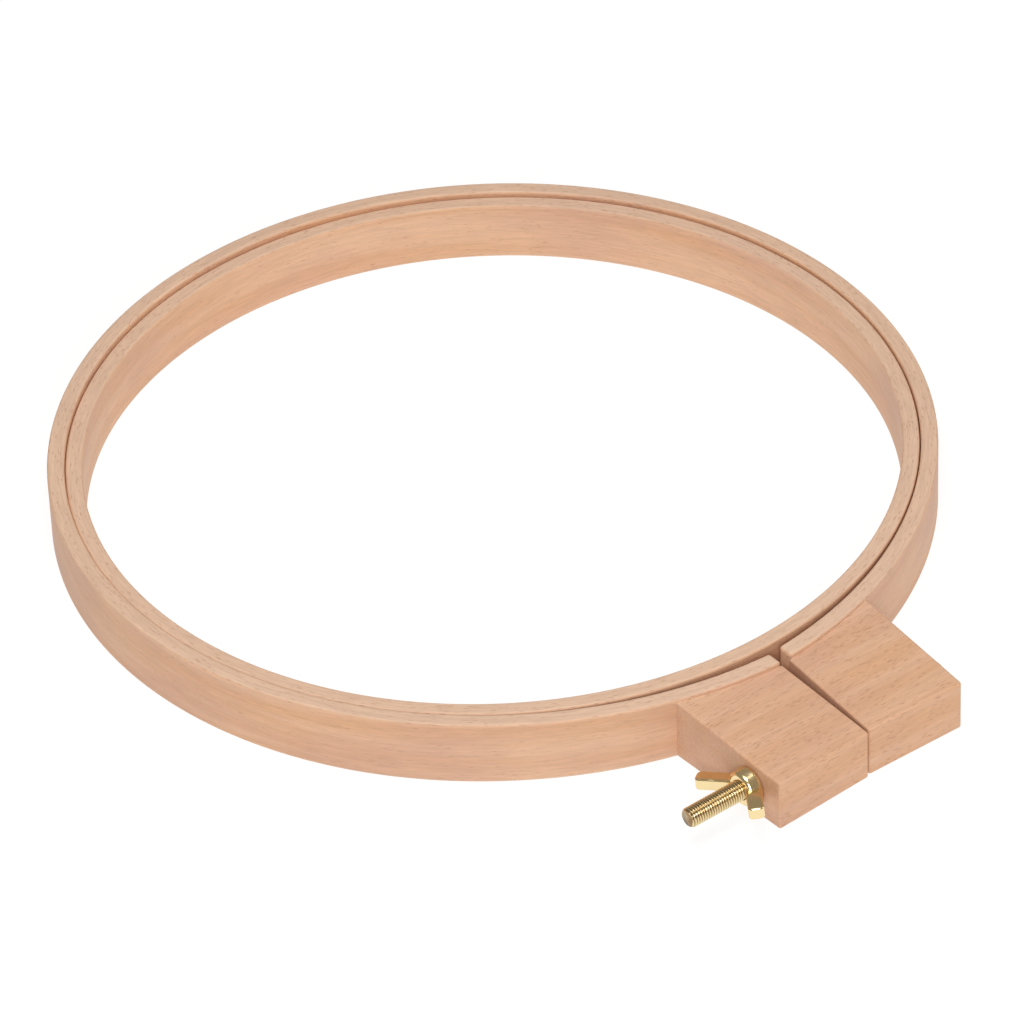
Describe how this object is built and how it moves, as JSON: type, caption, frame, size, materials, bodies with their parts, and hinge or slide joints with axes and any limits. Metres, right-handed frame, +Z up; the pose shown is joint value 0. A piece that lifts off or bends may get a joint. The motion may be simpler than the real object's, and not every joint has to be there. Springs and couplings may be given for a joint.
{
  "type": "quilting hoop",
  "caption": "Round wooden embroidery and quilting hoop: a plain inner ring inside a split outer ring, clamped by two wooden blocks, a carriage bolt and a wing nut.",
  "frame": {"origin": "centre of the rings, in the plane that the hoop lies on", "axes": "+Z up out of the hoop's plane; the clamp is towards -Y; the bolt runs along X with the wing nut at its -X end"},
  "size_m": [0.305, 0.3543, 0.024],
  "materials": {
    "ring_beech": "sanded beech with a thin clear finish",
    "block_beech": "sanded beech with a thin clear finish",
    "brass": "bright polished brass plate"
  },
  "bodies": {
    "head_half": {"outer_ring_head_half": "ring_beech", "clamp_block_head_side": "block_beech", "carriage_bolt": "brass"},
    "nut_half": {"outer_ring_nut_half": "ring_beech", "clamp_block_nut_side": "block_beech"},
    "washer": {"washer": "brass"},
    "wing_nut": {"wing_nut": "brass"},
    "inner_ring": {"inner_ring": "ring_beech"}
  },
  "joints": [
    {"name": "ring_opening", "type": "hinge", "parent": "head_half", "child": "nut_half", "pos_m": [0, 0.1525, 0.012], "axis": [0, 0, -1], "range_deg": [0, 1.2]},
    {"name": "nut_travel", "type": "slide", "parent": "head_half", "child": "washer", "axis": [-1, 0, 0], "range_m": [0, 0.0071]},
    {"name": "wing_nut_spin", "type": "hinge", "parent": "washer", "child": "wing_nut", "pos_m": [-0.048, -0.18525, 0.0113], "axis": [-1, 0, 0], "range_deg": [0, 2520]},
    {"name": "inner_ring_lift", "type": "slide", "parent": "head_half", "child": "inner_ring", "axis": [0, 0, 1], "range_m": [0, 0.04]}
  ],
  "couplings": [
    {"joint": "nut_travel", "follows": "wing_nut_spin", "m_per_rad": 0.00015915},
    {"joint": "ring_opening", "follows": "wing_nut_spin", "ratio": 0.00046415}
  ]
}
